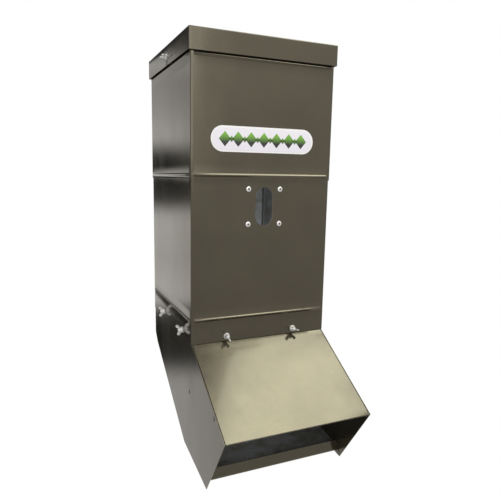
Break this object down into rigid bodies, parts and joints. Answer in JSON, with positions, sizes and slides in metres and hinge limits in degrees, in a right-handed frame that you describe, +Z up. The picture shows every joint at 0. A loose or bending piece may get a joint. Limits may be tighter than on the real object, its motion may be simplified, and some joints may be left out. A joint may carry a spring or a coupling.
{
  "type": "gravity game feeder",
  "caption": "Square sheet-steel gravity feeder that hangs on a tree: two-section hopper, lift-off lid, sight window, sloping hood, lipped tray and wing-nut hardware.",
  "frame": {"origin": "middle of the upper tree bracket's flat rear face, which lies against the tree", "axes": "+Z up, +Y from the feeder into the tree, +X to the right of someone facing the feeder"},
  "size_m": [0.3442, 0.5275, 0.8548],
  "materials": {
    "bronze_paint": "semi-gloss dark olive bronze metallic paint",
    "bronze_paint_inside": "satin dark bronze paint, dusty",
    "bracket_paint": "satin dark bronze powder coat",
    "zinc": "bright zinc plate",
    "clear_pane": "clear polycarbonate sheet",
    "label_white": "white printed label with a plain green and charcoal pattern"
  },
  "bodies": {
    "feeder": {"upper_hopper_section": "bronze_paint", "lower_hopper_section": "bronze_paint", "window_pane": "clear_pane", "label_plate": "label_white", "head_left_panel": "bronze_paint", "head_right_panel": "bronze_paint", "hood": "bronze_paint", "head_back_panel": "bronze_paint", "feed_tray": "bronze_paint", "upper_tree_bracket": "bracket_paint", "lower_tree_bracket": "bracket_paint", "gate_left_bolt": "zinc", "gate_left_washer": "zinc", "head_left_front_bolt": "zinc", "head_left_front_washer": "zinc", "head_left_rear_bolt": "zinc", "head_left_rear_washer": "zinc", "lid_left_bolt": "zinc", "lid_left_washer": "zinc", "gate_right_bolt": "zinc", "gate_right_washer": "zinc", "head_right_front_bolt": "zinc", "head_right_front_washer": "zinc", "head_right_rear_bolt": "zinc", "head_right_rear_washer": "zinc", "lid_right_bolt": "zinc", "lid_right_washer": "zinc", "window_rivet_1": "zinc", "window_rivet_2": "zinc", "window_rivet_3": "zinc", "window_rivet_4": "zinc", "upper_bracket_rivet_1": "zinc", "upper_bracket_rivet_2": "zinc", "upper_bracket_rivet_3": "zinc", "upper_bracket_rivet_4": "zinc", "lower_bracket_rivet_1": "zinc", "lower_bracket_rivet_2": "zinc", "lower_bracket_rivet_3": "zinc", "lower_bracket_rivet_4": "zinc"},
    "lid": {"lid": "bronze_paint"},
    "flow_gate": {"flow_gate": "bronze_paint_inside"},
    "gate_left_wing_nut": {"gate_left_wing_nut": "zinc"},
    "head_left_front_wing_nut": {"head_left_front_wing_nut": "zinc"},
    "head_left_rear_wing_nut": {"head_left_rear_wing_nut": "zinc"},
    "lid_left_wing_nut": {"lid_left_wing_nut": "zinc"},
    "gate_right_wing_nut": {"gate_right_wing_nut": "zinc"},
    "head_right_front_wing_nut": {"head_right_front_wing_nut": "zinc"},
    "head_right_rear_wing_nut": {"head_right_rear_wing_nut": "zinc"},
    "lid_right_wing_nut": {"lid_right_wing_nut": "zinc"}
  },
  "joints": [
    {"name": "lid_lift", "type": "slide", "parent": "feeder", "child": "lid", "axis": [0, 0, 1], "range_m": [0, 0.08]},
    {"name": "gate_slide", "type": "slide", "parent": "feeder", "child": "flow_gate", "axis": [0, 0, 1], "range_m": [0, 0.05]},
    {"name": "gate_left_nut_spin", "type": "hinge", "parent": "feeder", "child": "gate_left_wing_nut", "pos_m": [-0.0765, -0.3468, -0.438], "axis": [0, -1, 0], "continuous": true},
    {"name": "head_left_front_nut_spin", "type": "hinge", "parent": "feeder", "child": "head_left_front_wing_nut", "pos_m": [-0.1543, -0.288, -0.433], "axis": [-1, 0, 0], "continuous": true},
    {"name": "head_left_rear_nut_spin", "type": "hinge", "parent": "feeder", "child": "head_left_rear_wing_nut", "pos_m": [-0.1543, -0.14, -0.433], "axis": [-1, 0, 0], "continuous": true},
    {"name": "lid_left_nut_spin", "type": "hinge", "parent": "feeder", "child": "lid_left_wing_nut", "pos_m": [-0.1602, -0.201, 0.1265], "axis": [-1, 0, 0], "continuous": true},
    {"name": "gate_right_nut_spin", "type": "hinge", "parent": "feeder", "child": "gate_right_wing_nut", "pos_m": [0.0765, -0.3468, -0.438], "axis": [0, -1, 0], "continuous": true},
    {"name": "head_right_front_nut_spin", "type": "hinge", "parent": "feeder", "child": "head_right_front_wing_nut", "pos_m": [0.1543, -0.288, -0.433], "axis": [1, 0, 0], "continuous": true},
    {"name": "head_right_rear_nut_spin", "type": "hinge", "parent": "feeder", "child": "head_right_rear_wing_nut", "pos_m": [0.1543, -0.14, -0.433], "axis": [1, 0, 0], "continuous": true},
    {"name": "lid_right_nut_spin", "type": "hinge", "parent": "feeder", "child": "lid_right_wing_nut", "pos_m": [0.1602, -0.201, 0.1265], "axis": [1, 0, 0], "continuous": true}
  ]
}
